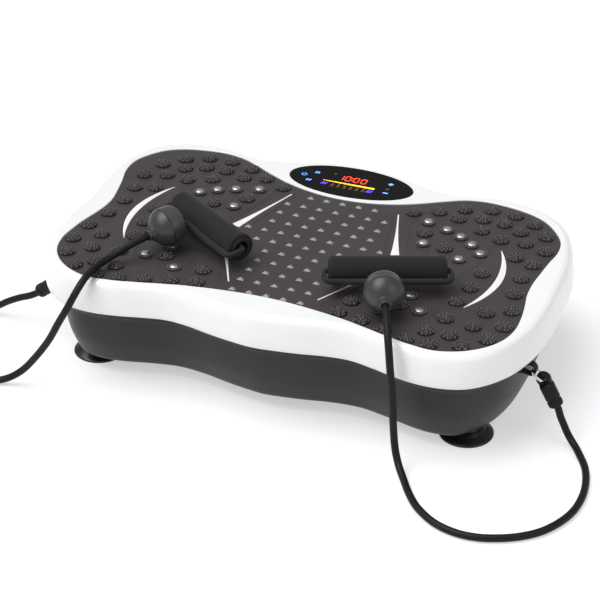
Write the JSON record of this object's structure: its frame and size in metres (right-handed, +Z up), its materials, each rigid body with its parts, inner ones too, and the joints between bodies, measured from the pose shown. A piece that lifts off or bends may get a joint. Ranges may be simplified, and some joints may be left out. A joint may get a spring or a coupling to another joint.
{
  "type": "vibration plate",
  "caption": "Rocking vibration plate with a bow-tie deck, massage mat, display window, suction feet and resistance bands whose handles rest on the mat.",
  "frame": {"origin": "on the floor, under the middle of the shell", "axes": "+X along the plate, to the right as seen from the front; +Y to the back, where the display is; +Z up"},
  "size_m": [0.7513, 0.455, 0.172],
  "materials": {
    "shell": "white gloss ABS",
    "base": "black fine-textured ABS",
    "mat": "soft dark grey rubber, fine-textured",
    "stripe": "white satin inlay",
    "lens": "black gloss touch window",
    "board": "green circuit board",
    "frame_steel": "black painted steel",
    "steel": "ground steel",
    "bronze": "sintered bronze",
    "motor": "grey painted motor can",
    "belt": "matte black belt rubber",
    "foam": "black foam",
    "handle": "dark grey satin plastic",
    "cord": "black elastic cord",
    "strap": "black braided cord",
    "webbing": "black webbing",
    "chrome": "bright wire",
    "feet": "dark grey rubber, satin"
  },
  "bodies": {
    "base": {"base_shell": "base", "base_frame": "frame_steel", "pivot_shaft": "steel", "motor": "motor", "drive_belt": "belt", "shaft_bearing_front": "steel", "shaft_bearing_rear": "steel", "control_board": "board", "power_inlet": "base", "switch_frame": "base", "foot_front_left": "feet", "foot_back_left": "feet", "webbing_loop_left": "webbing", "clip_ring_left": "chrome", "band_sleeve_left": "handle", "band_left": "cord", "foot_front_right": "feet", "foot_back_right": "feet", "webbing_loop_right": "webbing", "clip_ring_right": "chrome", "band_sleeve_right": "handle", "band_right": "cord"},
    "platform": {"top_shell": "shell", "foot_mat": "mat", "display_lens": "lens", "display_board": "board", "platform_frame": "frame_steel", "pivot_bush_front": "bronze", "pivot_bush_rear": "bronze", "rod_pin": "steel", "stripe_back_left": "stripe", "stripe_back_right": "stripe", "stripe_front_left": "stripe", "stripe_front_right": "stripe", "stripe_curved_left": "stripe", "stripe_curved_right": "stripe", "handle_ball_left": "handle", "handle_cap_left": "handle", "strap_cord_left": "strap", "handle_ball_right": "handle", "handle_cap_right": "handle", "strap_cord_right": "strap"},
    "grip_left": {"grip_foam_left": "foam", "grip_core_left": "handle"},
    "grip_right": {"grip_foam_right": "foam", "grip_core_right": "handle"},
    "rotor": {"motor_shaft": "steel", "motor_pulley": "frame_steel"},
    "crank": {"eccentric_shaft": "steel", "driven_pulley": "frame_steel"},
    "rod": {"connecting_rod": "steel"},
    "switch": {"power_switch_rocker": "base"},
    "gate_left": {"clip_gate_left": "chrome"},
    "gate_right": {"clip_gate_right": "chrome"}
  },
  "joints": [
    {"name": "platform_rock", "type": "hinge", "parent": "base", "child": "platform", "pos_m": [0.00188, -0.00016, 0.088], "axis": [0, 1, 0], "range_deg": [-1, 1], "deforming": ["band_left", "band_right"]},
    {"name": "rod_swing", "type": "hinge", "parent": "platform", "child": "rod", "pos_m": [0.10688, -0.00016, 0.104], "axis": [0, 1, 0], "range_deg": [-1.5, 1.5]},
    {"name": "crank_spin", "type": "hinge", "parent": "base", "child": "crank", "pos_m": [0.10688, -0.00016, 0.06], "axis": [0, 1, 0], "continuous": true},
    {"name": "motor_spin", "type": "hinge", "parent": "base", "child": "rotor", "pos_m": [-0.10812, 0.09184, 0.06], "axis": [0, 1, 0], "continuous": true},
    {"name": "switch_rock", "type": "hinge", "parent": "base", "child": "switch", "pos_m": [-0.02012, 0.14184, 0.051], "axis": [0, 0, 1], "range_deg": [-16, 0]},
    {"name": "grip_left_turn", "type": "hinge", "parent": "platform", "child": "grip_left", "pos_m": [-0.09712, -0.05066, 0.1451], "axis": [0.8384, -0.545, 0], "continuous": true},
    {"name": "grip_right_turn", "type": "hinge", "parent": "platform", "child": "grip_right", "pos_m": [0.10588, -0.06866, 0.1451], "axis": [0.9231, 0.3846, 0], "continuous": true},
    {"name": "gate_left_open", "type": "hinge", "parent": "base", "child": "gate_left", "pos_m": [-0.26072, -0.08356, 0.073], "axis": [-1, 0, 0], "range_deg": [0, 11], "stiffness_Nm_per_rad": 0.004, "springref_deg": -17.19},
    {"name": "gate_right_open", "type": "hinge", "parent": "base", "child": "gate_right", "pos_m": [0.26954, -0.08356, 0.07578], "axis": [-0.5371, 0, -0.8435], "range_deg": [0, 11], "stiffness_Nm_per_rad": 0.004, "springref_deg": -17.19}
  ],
  "couplings": [
    {"joint": "rod_swing", "follows": "platform_rock", "ratio": -1},
    {"joint": "motor_spin", "follows": "crank_spin", "ratio": 2.0127}
  ]
}
